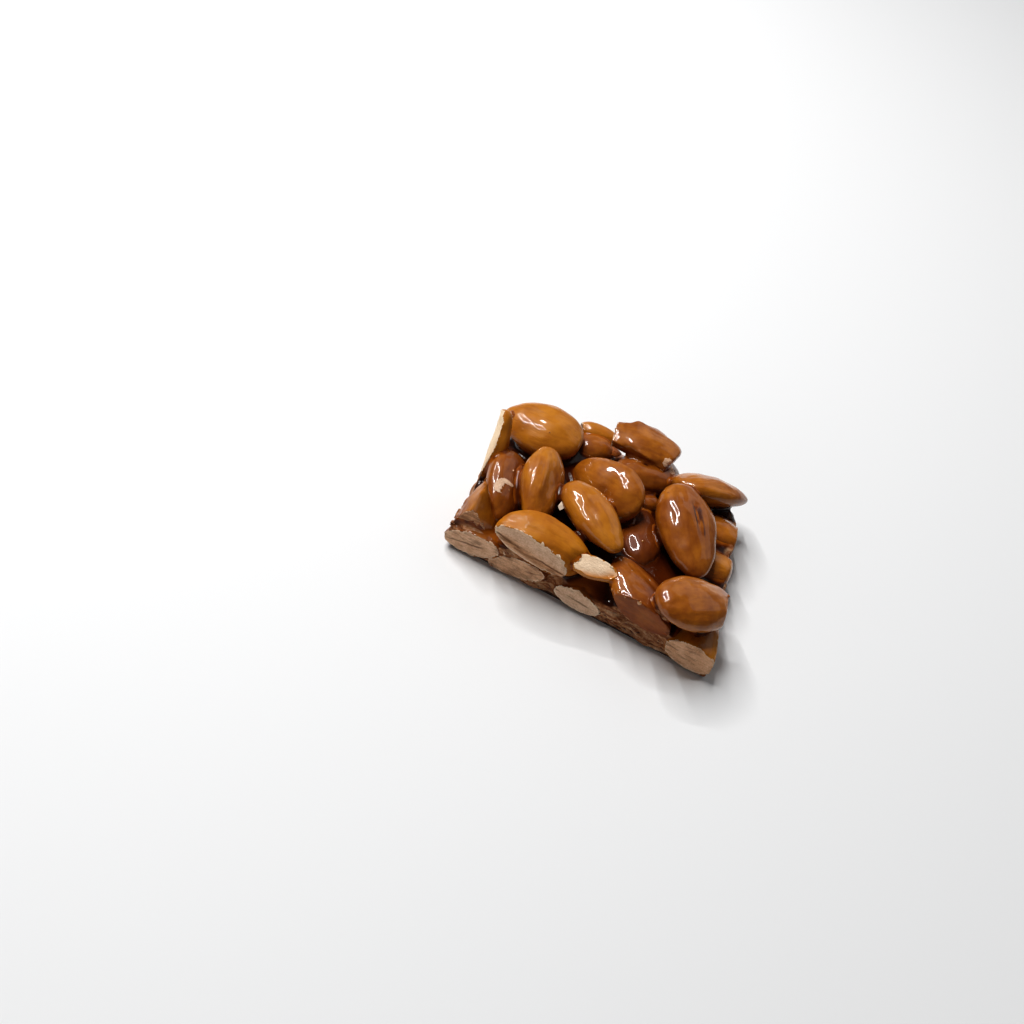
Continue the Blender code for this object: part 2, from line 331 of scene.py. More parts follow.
def fitted(mesh, name):
    """An object whose rounded surface passes through the corners of the CAD solid."""
    middle, directions = own_axes(mesh)
    movable = np.array([[len(vertex.link_edges) < TIP_EDGES] for vertex in mesh.verts])
    data = bpy.data.meshes.new(name)
    mesh.to_mesh(data)
    mesh.free()
    thing = placed(name, data)
    rounded = thing.modifiers.new("rounded", "SUBSURF")
    rounded.levels = rounded.render_levels = 1
    goal = column(data.vertices, "co", 3)
    guess = goal.copy()
    for _ in range(FITTING_ROUNDS):
        seen = thing.evaluated_get(bpy.context.evaluated_depsgraph_get()).data
        missed = goal - column(seen.vertices, "co", 3)[: len(goal)]
        guess = guess + np.clip(missed, -MOST_MOVED, MOST_MOVED) * movable
        guess = goal + np.clip(guess - goal, -MOST_MOVED, MOST_MOVED)
        data.vertices.foreach_set("co", guess.ravel())
        data.update()
        thing.update_tag()
    rounded.levels = rounded.render_levels = ROUNDING_STEPS
    paint(data, "kernel_place", (guess - middle) @ directions, 3)
    return thing


def kernel_surface():
    """Geometry Nodes tree that wrinkles a kernel's skin and roughens its cut faces."""
    inputs = dict.fromkeys(("Seed", "Lump Height", "Wrinkle Height", "Torn Height"), "Float")
    sheet, given = new_tree("kernel_surface", inputs)
    place = sheet.kept("kernel_place", "FLOAT_VECTOR")
    cut = sheet.kept("cut_open")
    apart = sheet.node("ShaderNodeCombineXYZ", None, {0: given["Seed"], 1: given["Seed"] * 0.37})
    lumps = place.vector("ADD", apart).grain(120.0, 1.5) - 0.5
    drawn = place.vector("MULTIPLY", (0.30, 1.0, 1.0)).vector("ADD", apart)
    ridges = 0.1 - (drawn.grain(210.0, 2.5, 0.5, 0.4) - 0.5).math("ABSOLUTE")
    here = sheet.node("GeometryNodeInputPosition")
    dragged = here.vector("MULTIPLY", (0.45, 0.45, 1.0)).vector("ADD", apart)
    torn = dragged.grain(900.0, 3.0, 0.6) - 0.5
    broad = here.vector("ADD", apart).grain(260.0, 2.0, 0.5) - 0.5
    skin = lumps * given["Lump Height"] + ridges * given["Wrinkle Height"]
    flesh = (torn * 0.7 + broad * 0.8 - 0.1) * given["Torn Height"]
    height = skin * (1.0 - cut) + flesh * cut
    normal = sheet.node("GeometryNodeInputNormal")
    sockets = {"Geometry": given["Geometry"], "Offset": normal.scaled(height)}
    moved = sheet.node("GeometryNodeSetPosition", None, sockets)
    return end_tree(moved, given["Finish"], True)


def kernel_finish():
    """Roast skin under a film of caramel, and pale flesh where the knife or a break opened the kernel."""
    material, shader, sheet, here = new_finish("glazed_kernel")
    place = sheet.painted("kernel_place", "Vector")
    own = place.vector("ADD", sheet.painted("own_seed", "Vector"))
    roast, film, smeared, sealed = (sheet.painted(name) for name in LOOKS)
    layers = ("rim_distance", "bared", "pooled", "scarred")
    rim, bared, pooled, scarred = (sheet.painted(name) for name in layers)
    mottle = own.grain(130.0, 3.0, 0.6)
    fine = own.grain(620.0, 3.0, 0.6)

    # skin: golden to brown, mottled, with fine darker veins that run from end to end
    drawn = own.vector("MULTIPLY", (0.18, 1.0, 1.0))
    veins = drawn.grain(620.0, 2.0, 0.6).band(0.50, 0.68)
    brown = (roast * 0.75 + (mottle - 0.5) * 0.9 + (fine - 0.5) * 0.35).band(-0.25, 0.95)
    skin = brown.ramp(
        (0.0, (0.500, 0.192, 0.014)),
        (0.35, (0.400, 0.134, 0.009)),
        (0.65, (0.275, 0.078, 0.005)),
        (1.0, (0.140, 0.030, 0.003)),
    )
    skin = (veins * 0.22).blend(skin, (0.150, 0.040, 0.008, 1.0))
    # skin darkened where its film is thick, and near its foot by painted shade where it meets the caramel
    filmed_and_shaded = skin.vector("MULTIPLY", (0.40, 0.20, 0.10))
    skin = (film * 0.28 + pooled * 0.52 + (mottle - 0.5) * 0.3).band(0.0, 1.0).blend(skin, filmed_and_shaded)
    # dark scars, and painted shade in the dent of the back left kernel, in one dark colour
    scar_and_dent_shade_mask = (scarred + (fine - 0.5) * 0.5 * scarred).band(0.25, 0.75)
    skin = scar_and_dent_shade_mask.blend(skin, (0.080, 0.022, 0.010, 1.0))

    # flesh: pinkish grey beige, dragged into streaks, with the dark seam between the two halves
    specks = here.grain(2600.0, 3.0, 0.65)
    streaks = here.vector("MULTIPLY", (0.16, 0.16, 1.0)).grain(1900.0, 4.0, 0.65)
    blotch = here.grain(420.0, 3.0, 0.6)
    tone = (specks - 0.5) * 1.0 + (streaks - 0.5) * 0.6 + (blotch - 0.5) * 0.7 + 0.5
    flesh = tone.ramp(
        (0.0, (0.370, 0.205, 0.130)),
        (0.35, (0.610, 0.395, 0.260)),
        (0.7, (0.800, 0.575, 0.410)),
        (1.0, (0.950, 0.780, 0.620)),
    )
    across = place.node("ShaderNodeSeparateXYZ", None, {0: place}, 2)
    bend = (own.grain(200.0, 2.0) - 0.5) * 0.0012
    seam = 1.0 - (across + bend).math("ABSOLUTE").band(0.00008, 0.00034)
    seam = seam * own.grain(150.0, 1.0).band(0.42, 0.62) * 0.7
    flesh = seam.blend(flesh, (0.085, 0.038, 0.020, 1.0))

    # caramel that the knife dragged over the flesh, or, below 0, flesh that is fresh and pale
    flesh = (smeared.math("MAXIMUM", 0.0) * 0.8).blend(flesh, flesh.vector("MULTIPLY", (0.86, 0.58, 0.36)))
    flesh = (smeared * -1.6).math("MAXIMUM", 0.0).blend(flesh, (0.900, 0.740, 0.520, 1.0))
    dragged = here.vector("MULTIPLY", (0.2, 0.2, 1.0)).grain(1300.0, 4.0, 0.7)
    dirty = (dragged * 0.7 + here.grain(240.0, 2.0, 0.5) * 0.5 + smeared * 0.25).band(0.68, 0.90)
    flesh = (dirty * 0.6).blend(flesh, (0.100, 0.038, 0.015, 1.0))

    # the ragged rim of the skin, patches where it came off, and cuts that clear caramel sealed
    edge = rim + (here.grain(650.0, 3.0, 0.65) - 0.5) * 0.0026 + 0.00012
    spots = (bared + (here.grain(900.0, 3.0, 0.6) - 0.5) * 0.9).band(0.38, 0.46) * bared.band(0.02, 0.1)
    opened = edge.band(-0.00006, 0.00006).math("MAXIMUM", spots)
    rough_rim = 1.0 - edge.math("ABSOLUTE").band(0.00008, 0.00050)
    flesh = (rough_rim * (1.0 - dirty) * 0.5).blend(flesh, (0.88, 0.74, 0.55, 1.0))
    amber = flesh.vector("MULTIPLY", (0.58, 0.23, 0.030))
    flesh = sealed.blend(flesh, (mottle * 0.3 + 0.62).blend(amber, skin))
    opened.blend(skin, flesh).into(shader["Base Color"])

    # gloss: wet where the film lies, dull on bare flesh
    bare = opened * (1.0 - sealed)
    (0.42 + bare * 0.30 + (fine - 0.5) * 0.15).into(shader["Roughness"])
    wet = (film * 1.8 + sealed * 0.6).band(0.0, 0.9)
    wet = (wet * 0.80 + 0.08) * (1.0 - opened * 0.65)
    ((1.0 - bare) * wet).into(shader["Coat Weight"])
    shader["Coat Roughness"].default_value = 0.07
    shader["Coat IOR"].default_value = 1.46
    shader["Specular IOR Level"].default_value = 0.14

    # relief: long shallow runs in the film with patches of fine ripples, and grain in the flesh
    runs = own.vector("MULTIPLY", (0.5, 1.0, 1.0)).grain(260.0, 2.0, 0.45)
    satin = drawn.grain(1500.0, 3.0, 0.6) * (own.grain(170.0, 2.0).band(0.42, 0.62) * 0.8 + 0.2)
    glazed = runs * 0.00024 + satin * 0.0001
    grainy = (specks + streaks * 0.6 + dragged * 0.6) * 0.00018
    (glazed * (1.0 - bare) + grainy * bare).bump().into(shader["Normal"])
    return material


kernel_tree = kernel_surface()
kernel_material = kernel_finish()
finished = {}


def rim_distance(thing):
    """Keeps how far each point is from the rim of the bare flesh, below 0 on the skin."""
    data = thing.data
    open_faces = column(data.attributes["cut_open"].data, "value")
    beside = np.zeros((len(data.vertices), 2), bool)
    for face, share in zip(data.polygons, open_faces):
        beside[list(face.vertices), int(share > 0.5)] = True
    rim = np.nonzero(beside.all(axis=1))[0]
    apart = np.full(len(data.vertices), -20.0 * MM)
    if len(rim):
        finder = KDTree(len(rim))
        for number, index in enumerate(rim):
            finder.insert(data.vertices[index].co, number)
        finder.balance()
        apart = np.array([finder.find(vertex.co)[2] for vertex in data.vertices])
        apart = np.where(beside[:, 1], apart, -apart)
    paint(data, "rim_distance", apart)


def hold(thing, node):
    """Draws in what stands too proud of the CAD solid, such as overshot corners."""
    solid = merged(node)
    finder = BVHTree.FromBMesh(solid)
    solid.free()
    for vertex in thing.data.vertices:
        nearest, facing, _, apart = finder.find_nearest(vertex.co)
        if apart > MOST_PROUD and (vertex.co - nearest).dot(facing) > 0.0:
            left = MOST_PROUD + (apart - MOST_PROUD) * PROUD_SHARE_LEFT
            vertex.co = nearest + (vertex.co - nearest) * left / apart
    thing.data.update()


def make_kernel(node, cut_faces, looks, seed, torn=SLICED_HEIGHT, sharp_from=180.0):
    """One kernel or broken piece: rounded, wrinkled and coloured, in the place of its CAD solid."""
    thing = fitted(cage_of(node, cut_faces, sharp_from), node.replace("almond_", "kernel_") + "_glazed")
    surface = thing.modifiers.new("surface", "NODES")
    surface.node_group = kernel_tree
    give(
        surface,
        seed=0.31 * seed,
        lump_height=LUMP_HEIGHT,
        wrinkle_height=WRINKLE_HEIGHT,
        torn_height=torn,
        finish=kernel_material,
    )
    plain(thing)
    hold(thing, node)
    rim_distance(thing)
    count = len(thing.data.vertices)
    for name, value in zip(LOOKS, looks):
        paint(thing.data, name, np.full(count, value))
    paint(thing.data, "own_seed", np.full((count, 3), 0.37 * seed), 3)
    finished[node] = thing
    return thing


def around(node, at, along, across):
    """How near each point of a kernel is to a spot on it, 1 to 0, over a length and a width in mm."""
    data = finished[node].data
    points = column(data.vertices, "co", 3)
    own = column(data.attributes["kernel_place"].data, "vector", 3)
    apart = own - own[np.argmin(((points - in_box(node, at)) ** 2).sum(axis=1))]
    flat = (apart[:, 0] / (along * MM)) ** 2
    return np.exp(-flat - (apart[:, 1] ** 2 + apart[:, 2] ** 2) / (across * MM) ** 2)


def press(node, at, along, across, deep):
    """Dents a kernel, or raises it where deep is negative."""
    data = finished[node].data
    share = around(node, at, along, across)
    outward = column(data.vertex_normals, "vector", 3)
    points = column(data.vertices, "co", 3) - outward * share[:, None] * deep * MM
    data.vertices.foreach_set("co", points.ravel())
    data.update()


def mark(node, layer, at, along, across, amount):
    """Adds to one of a kernel's painted layers round a spot."""
    data = finished[node].data
    before = column(data.attributes[layer].data, "value") if layer in data.attributes else 0.0
    paint(data, layer, np.clip(before + around(node, at, along, across) * amount, 0.0, 1.0))


def sliced(face):
    """Whether a face is a knife cut: large and upright."""
    return face.calc_area() > SLICED_FROM and abs(face.normal.z) < 0.1


for seed, (node, looks) in enumerate(KERNELS.items(), 1):
    make_kernel(node, sliced, looks, seed)
for node, thing in finished.items():
    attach(thing, "root")
    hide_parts(node)

# kernel, spot as shares of its box, length and width in mm, how deep in mm, or below 0 how high
HOLLOWS = (
    ("almond_back_left", (0.45, 0.25, 0.87), 2.4, 2.0, 0.25),
    ("almond_back_left", (0.29, 0.33, 0.84), 3.2, 3.0, -0.28),
    ("almond_back_left", (0.55, 0.45, 0.95), 3.5, 1.0, -0.15),
    ("almond_middle_broad", (0.51, 0.22, 0.63), 1.8, 3.0, 0.9),
    ("almond_middle_broad", (0.75, 0.35, 0.90), 2.5, 2.5, -0.35),
    ("almond_left_upright", (0.51, 0.45, 0.91), 7.0, 0.9, -0.30),
    ("almond_right_scarred", (0.53, 0.62, 0.95), 7.5, 0.5, 0.55),
    ("almond_right_scarred", (0.50, 0.70, 0.93), 0.9, 0.9, 0.5),
    ("almond_right_scarred", (0.72, 0.45, 0.85), 8.0, 3.2, 0.3),
    ("almond_right_scarred", (0.29, 0.47, 0.89), 5.0, 3.0, -0.3),
    ("almond_right_corner", (0.55, 0.25, 0.80), 5.5, 4.5, 0.7),
    ("almond_right_corner", (0.22, 0.45, 0.80), 4.0, 0.9, -0.3),
    ("almond_middle_crossing", (0.40, 0.38, 0.90), 5.0, 5.0, 0.45),
    ("almond_middle_crossing", (0.40, 0.24, 0.79), 9.0, 2.0, -0.40),
    ("almond_left_upright", (0.75, 0.40, 0.80), 6.0, 1.5, 0.3),
    ("almond_front_left", (0.55, 0.65, 0.85), 5.0, 1.2, 0.3),
    ("almond_front_left", (0.80, 0.35, 0.75), 1.8, 2.2, -0.35),
    ("almond_front_right", (0.62, 0.55, 0.85), 6.0, 1.1, 0.3),
    ("almond_back_right", (0.55, 0.30, 0.85), 7.0, 0.8, 0.35),
)
for hollow in HOLLOWS:
    press(*hollow)

# kernel, what it is marked with, spot as shares of its box, length and width in mm, how strongly
MARKS = (
    ("almond_right_scarred", "scarred", (0.55, 0.58, 0.95), 7.5, 0.36, 0.9),
    ("almond_right_scarred", "scarred", (0.76, 0.42, 0.77), 7.0, 0.28, 0.8),
    ("almond_right_scarred", "scarred", (0.52, 0.66, 0.92), 1.2, 1.3, 0.75),
    ("almond_right_scarred", "scarred", (0.60, 0.57, 0.92), 1.5, 0.9, 0.7),
    # this one darkens the dent of the back left kernel: painted shade in its hollow
    ("almond_back_left", "scarred", (0.45, 0.25, 0.87), 1.9, 1.2, 0.42),
    ("almond_left_shaded", "bared", (0.48, 0.30, 0.93), 2.2, 1.3, 0.8),
    ("almond_left_shaded", "bared", (0.62, 0.40, 0.93), 0.9, 1.8, 0.7),
    ("almond_front_left", "smeared", (0.20, 0.0, 0.30), 5.0, 1.3, 0.9),
    ("almond_front_left", "smeared", (0.55, 0.0, 0.22), 6.0, 1.3, 0.9),
    ("almond_front_left", "smeared", (0.85, 0.0, 0.15), 5.0, 1.0, 0.8),
    ("almond_back_middle", "bared", (0.80, 0.70, 0.80), 1.6, 1.6, 0.85),
    ("almond_back_middle", "bared", (0.90, 0.60, 0.72), 1.4, 1.2, 0.7),
)
for spot in MARKS:
    mark(*spot)


# Broken kernels
# Ends, shells and slivers of kernels that split while they were stirred. Skin is left on the outside, and
# the breaks show cream or grey flesh. They stand in the caramel at the angles they fell.

# name: how brown, filmed, smeared (below 0: fresh and pale) and sealed it is, how its breaks face, and
# the fold in degrees from which an edge stays sharp
BROKEN = {
    "broken_end_standing": ((0.45, 0.3, 0.95, 0.0), ((0, -1, 0), (0, 0, -1)), 80.0),
    "splinter_standing": (
        (0.20, 0.4, -0.4, 0.0),
        ((-0.67, -0.58, 0.47), (0, 0.7, -0.6), (-1, -0.2, 0)),
        180.0,
    ),
    "shell_back": ((0.48, 0.55, 0.3, 0.0), ((0, 0, -1), (-0.9, 0.3, 0.2)), 180.0),
    "sliver_back": ((0.10, 0.3, 0.0, 0.0), ((0, 0, -1), (-1, 0, 0)), 180.0),
    "sliver_front": ((0.05, 0.2, -0.25, 0.0), ((0, -0.4, 0.9), (0, 0, -1)), 180.0),
    "chip_middle": ((0.50, 0.7, 0.5, 0.0), ((-1, 0, 0),), 180.0),
}
BROKEN_HEIGHT = 1.0 * MM
FIRST_BROKEN_SEED = 40

for seed, (node, (looks, breaks, sharp_from)) in enumerate(BROKEN.items(), FIRST_BROKEN_SEED):
    directions = [Vector(way).normalized() for way in breaks]

    def broken(face):
        """Whether a many-sided face is one of the bare breaks."""
        return len(face.verts) > 5 and any(face.normal.dot(way) > 0.8 for way in directions)

    piece = make_kernel(node, broken, looks, seed, BROKEN_HEIGHT, sharp_from)
    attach(piece, "root")
    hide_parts(node)

# Skin or caramel left on part of a break
mark("sliver_front", "sealed", (0.92, 0.45, 0.75), 2.4, 1.8, 0.75)
mark("sliver_front", "sealed", (0.50, 0.0, 0.62), 9.0, 1.3, 0.95)
mark("shell_back", "bared", (0.85, 0.18, 0.49), 1.3, 1.5, 0.8)
mark("splinter_standing", "sealed", (0.75, 0.30, 0.45), 5.0, 0.9, 0.8)
mark("broken_end_standing", "roast", (0.5, 0.3, 0.25), 4.0, 4.0, 0.4)


# Caramel
# Sugar boiled to a dark amber, poured round the kernels and rolled flat while it is soft. It climbs each
# kernel in a hollow fillet, sets like glass, and shatters into dull, fibrous faces under the knife.

# hollows narrower than twice the reach are filled, and all of it is sunk a little under the kernels' skins
REACH = 0.85 * MM
SUNK = 0.12 * MM
FINE_CELL = 0.30 * MM
CELL = 0.45 * MM
DEEPEST = 6.0 * MM
# how far up a kernel the pooled film and its painted shade reach
FILM_POOL_AND_SHADE_REACH = 2.2 * MM
KNIFE_FACE_FROM = 60.0 * MM * MM
EVEN_UNDER = 0.35 * MM
# in mm: how far in from a knife face the damage goes, and, on top, how much further it goes in places
DAMAGE, RAGGED_DAMAGE = 0.9, 3.2
# in mm: how far a knife face is stepped back on average, then by its layers and by its pits
STEP_BACK, LAYER_DEPTH, PIT_DEPTH = 0.8, 1.3, 0.8


def closing_tree():
    """Geometry Nodes tree that fills the hollows between solids which a ball of some radius can't enter."""
    cell_counts = [f"{kind} {axis}" for kind in ("Fine Cells", "Cells") for axis in "XYZ"]
    inputs = {"Kernels": "Collection", "Reach": "Float", "Sunk": "Float", "Low": "Vector", "High": "Vector"}
    sheet, given = new_tree("caramel_fillets", {**inputs, **dict.fromkeys(cell_counts, "Int")})
    here = sheet.node("GeometryNodeInputPosition")
    normal = sheet.node("GeometryNodeInputNormal")

    def nearest(solid):
        """The way from the nearest point of the solid's surface to each cell."""
        sockets = {0: solid, "Sample Position": here}
        spot = sheet.node("GeometryNodeProximity", {"target_element": "FACES"}, sockets, "Position")
        return here.vector("SUBTRACT", spot)

    def filled(field, cells):
        """A mesh round the cells where the field is above 0."""
        sockets = {"Density": field, "Background": -1.0, "Min": given["Low"], "Max": given["High"]}
        for axis in "XYZ":
            sockets[f"Resolution {axis}"] = given[f"{cells} {axis}"]
        volume = sheet.node("GeometryNodeVolumeCube", None, sockets)
        return sheet.node("GeometryNodeVolumeToMesh", None, {"Volume": volume, "Threshold": 0.0})

    # the solids and all that is within reach of them
    sockets = {"Collection": given["Kernels"]}
    stones = sheet.node("GeometryNodeCollectionInfo", {"transform_space": "ORIGINAL"}, sockets)
    stones = sheet.node("GeometryNodeRealizeInstances", None, {"Geometry": stones})
    joined = sheet.node("GeometryNodeJoinGeometry")
    stones.into(joined.socket.node.inputs[0])
    given["Geometry"].into(joined.socket.node.inputs[0])
    band = given["Reach"] - nearest(joined).vector("LENGTH", output="Value")
    shells = filled(band, "Fine Cells")

    # only the outermost shell is kept: the one nearest to a far point
    island = sheet.node("GeometryNodeInputMeshIsland", None, None, "Island Index")
    aside = sheet.node("ShaderNodeCombineXYZ", None, {0: -1.0})
    sockets = {"Geometry": shells, "Sample Position": aside}
    outermost = sheet.node("GeometryNodeSampleNearest", {"domain": "POINT"}, sockets)
    settings = {"data_type": "INT", "domain": "POINT"}
    sockets = {"Geometry": shells, "Value": island, "Index": outermost}
    outer = sheet.node("GeometryNodeSampleIndex", settings, sockets)
    settings = {"data_type": "INT", "operation": "NOT_EQUAL"}
    inner = sheet.node("FunctionNodeCompare", settings, {2: island, 3: outer})
    sockets = {"Geometry": shells, "Selection": inner}
    swollen = sheet.node("GeometryNodeDeleteGeometry", {"domain": "POINT"}, sockets)

    # the shell drawn back in by as much as it reached out leaves the hollows filled
    settings = {"data_type": "FLOAT_VECTOR", "domain": "FACE"}
    sockets = {"Geometry": swollen, "Name": "facing", "Value": normal}
    swollen = sheet.node("GeometryNodeStoreNamedAttribute", settings, sockets)
    facing = sheet.kept("facing", "FLOAT_VECTOR")
    settings = {"data_type": "FLOAT_VECTOR"}
    sockets = {"Mesh": swollen, "Value": facing, "Sample Position": here}
    outward = sheet.node("GeometryNodeSampleNearestSurface", settings, sockets, "Value")
    away = nearest(swollen)
    length = away.vector("LENGTH", output="Value")
    beyond = (away.vector("DOT_PRODUCT", outward, output="Value") - length * 0.5).math("GREATER_THAN", 0.0)
    closed = filled(length * (1.0 - beyond * 2.0) - given["Reach"] - given["Sunk"], "Cells")
    settled = sheet.node("GeometryNodeBlurAttribute", settings, {"Value": here, "Iterations": 3})
    closed = sheet.node("GeometryNodeSetPosition", None, {"Geometry": closed, "Position": settled})
    return end_tree(closed, given["Finish"], True)


def caramel_finish():
    """Clear amber where it lies thin over a kernel, dark red brown where deep, dull on the knife faces."""
    material, shader, sheet, here = new_finish("set_caramel")
    knife = sheet.painted("knife_face")
    cloudy = here.grain(240.0, 3.0, 0.6)
    fine = here.grain(1300.0, 3.0, 0.6)
    clear = (sheet.painted("depth_to_kernel") * 250.0 + (cloudy - 0.5) * 0.25).ramp(
        (0.0, (0.330, 0.095, 0.007)),
        (0.12, (0.200, 0.048, 0.004)),
        (0.32, (0.085, 0.017, 0.002)),
        (0.65, (0.045, 0.008, 0.0014)),
        (1.0, (0.028, 0.005, 0.0010)),
    )
    layers = here.vector("MULTIPLY", (0.16, 0.16, 1.0)).grain(1100.0, 4.0, 0.65)
    split = ((layers - 0.5) * 1.7 + (fine - 0.5) * 0.6 + (cloudy - 0.5) * 0.5 + 0.5).ramp(
        (0.0, (0.060, 0.016, 0.005)),
        (0.38, (0.210, 0.072, 0.024)),
        (0.58, (0.370, 0.170, 0.074)),
        (1.0, (0.640, 0.430, 0.270)),
    )
    dull = (knife + (cloudy - 0.5) * 1.1).band(0.35, 0.75) * knife
    dull.blend(clear, split).into(shader["Base Color"])
    (0.16 + dull * 0.45 + (fine - 0.5) * 0.1).into(shader["Roughness"])
    (0.22 - dull * 0.10).into(shader["Coat Weight"])
    shader["Coat Roughness"].default_value = 0.05
    shader["Specular IOR Level"].default_value = 0.1
    ripple = here.grain(420.0, 2.0, 0.5) * 0.00025 * (1.0 - knife) + layers * 0.00045 * knife
    ripple.bump().into(shader["Normal"])
    return material


def knife_planes():
    """The large flat upright faces of the caramel solid, each a point and an outward direction."""
    mesh = cage_of("caramel", lambda face: False)
    planes = []
    for face in mesh.faces:
        if abs(face.normal.z) < 0.05 and face.calc_area() > KNIFE_FACE_FROM:
            planes.append((np.array(face.calc_center_median()), np.array(face.normal)))
    mesh.free()
    return planes


def over_kernels(points, outward):
    """How far each point of the caramel is from a kernel, and how deep the caramel is under it."""
    stone_points, stone_faces = [], []
    for thing in finished.values():
        start = len(stone_points)
        stone_points += [vertex.co[:] for vertex in thing.data.vertices]
        stone_faces += [[start + corner for corner in face.vertices] for face in thing.data.polygons]
    finder = BVHTree.FromPolygons(stone_points, stone_faces)
    away = np.zeros(len(points), np.float32)
    depth = np.zeros(len(points), np.float32)
    for index, (spot, way) in enumerate(zip(points, outward)):
        spot, way = Vector(spot), Vector(way)
        nearest, facing, _, apart = finder.find_nearest(spot)
        if (spot - nearest).dot(facing) > 0.0:
            away[index] = apart
            reached = finder.ray_cast(spot - way * 0.02 * MM, -way, DEEPEST)[3]
            depth[index] = DEEPEST if reached is None else reached
    return away, depth


def evened(values, data):
    """The values of a mesh's points, blended three times with their neighbours'."""
    links = np.array([edge.vertices[:] for edge in data.edges])
    links = np.concatenate((links, links[:, ::-1]))
    shared = np.bincount(links[:, 0], minlength=len(values)) + 2.0
    for _ in range(3):
        beside = np.bincount(links[:, 0], values[links[:, 1]], len(values))
        values = ((values * 2.0 + beside) / shared).astype(np.float32)
    return values


stones = bpy.data.collections.new("stones")
for thing in finished.values():
    stones.objects.link(thing)
slab = bpy.data.meshes.new("caramel_set")
cage = merged("caramel")
cage.to_mesh(slab)
cage.free()
caramel = placed("caramel_set", slab)
fillets = caramel.modifiers.new("fillets", "NODES")
fillets.node_group = closing_tree()
margin = Vector((1.0, 1.0, 1.0)) * (REACH + 2.0 * CELL)
low, high = part_low - margin, part_high + margin
cell_counts = {
    f"{kind}_{axis}": round(side / cell)
    for kind, cell in (("fine_cells", FINE_CELL), ("cells", CELL))
    for axis, side in zip("xyz", high - low)
}
give(fillets, kernels=stones, reach=REACH, sunk=SUNK, low=low, high=high, **cell_counts)
give(fillets, finish=caramel_finish())
plain(caramel)
for thing in finished.values():
    stones.objects.unlink(thing)
bpy.data.collections.remove(stones)

points = column(caramel.data.vertices, "co", 3)
outward = column(caramel.data.vertex_normals, "vector", 3)
away, depth = over_kernels(points, outward)
paint(caramel.data, "depth_to_kernel", evened(depth, caramel.data))

# How far each point belongs to a knife face: it ends raggedly a few millimetres in from the top
knife = np.zeros(len(points), np.float32)
rising = np.clip((outward[:, 2] - 0.35) / 0.4, 0.0, 1.0)
ragged = np.array([max(0.0, noise.noise(Vector(point) * 140.0)) for point in points])
for place, facing in knife_planes():
    behind = -((points - place) @ facing)
    share = np.clip(1.5 - behind / ((DAMAGE + RAGGED_DAMAGE * rising * ragged) * MM), 0.0, 1.0)
    knife = np.maximum(knife, share.astype(np.float32))
paint(caramel.data, "knife_face", knife)

# The film on a kernel pools towards the caramel round its foot, and the skin darkens there: partly the
# thicker film, partly painted shade where the kernel meets the caramel
open_faces = [face.vertices[:] for face in caramel.data.polygons]
open_faces = [face for face in open_faces if away[list(face)].min() > 0.3 * MM]
open_finder = BVHTree.FromPolygons([Vector(point) for point in points], open_faces)
for thing in finished.values():
    reached = [open_finder.find_nearest(vertex.co)[3] for vertex in thing.data.vertices]
    paint(thing.data, "pooled", np.exp(-np.array(reached) / FILM_POOL_AND_SHADE_REACH))

# The knife shatters the caramel between the kernels: the faces are stepped back in ragged, drawn-out layers
for index in np.nonzero(knife > 0.02)[0]:
    x, y, z = points[index]
    layer = noise.fractal(Vector((x * 110.0, y * 110.0, z * 520.0)), 0.7, 2.0, 3)
    pit = noise.fractal(Vector((x * 260.0, y * 260.0, z * 300.0 + 9.0)), 0.8, 2.0, 2)
    back = STEP_BACK + LAYER_DEPTH * layer + PIT_DEPTH * pit
    back = back * MM * min(1.0, away[index] / (0.8 * MM) + 0.15)
    points[index] -= outward[index] * max(back, 0.0) * knife[index]
points[(points[:, 2] < EVEN_UNDER) & (outward[:, 2] < -0.5), 2] = 0.0
points[:, 2] = np.maximum(points[:, 2], 0.0)
caramel.data.vertices.foreach_set("co", points.ravel())
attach(caramel, "root")
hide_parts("caramel")


# Torn caramel
# Where the knife shatters the caramel it leaves splinters and flakes that lie along the cut, and drags
# some of them over the sliced kernels. They are the same caramel, dull where it is full of fine cracks.

# per square metre of torn ground
SPLINTERS = 2.6e6
CRUMBS = 0.35e6
CLEAR_OF_FLOOR = 0.9 * MM
SMEARED_FROM = 0.62
SET_IN = -0.14 * MM


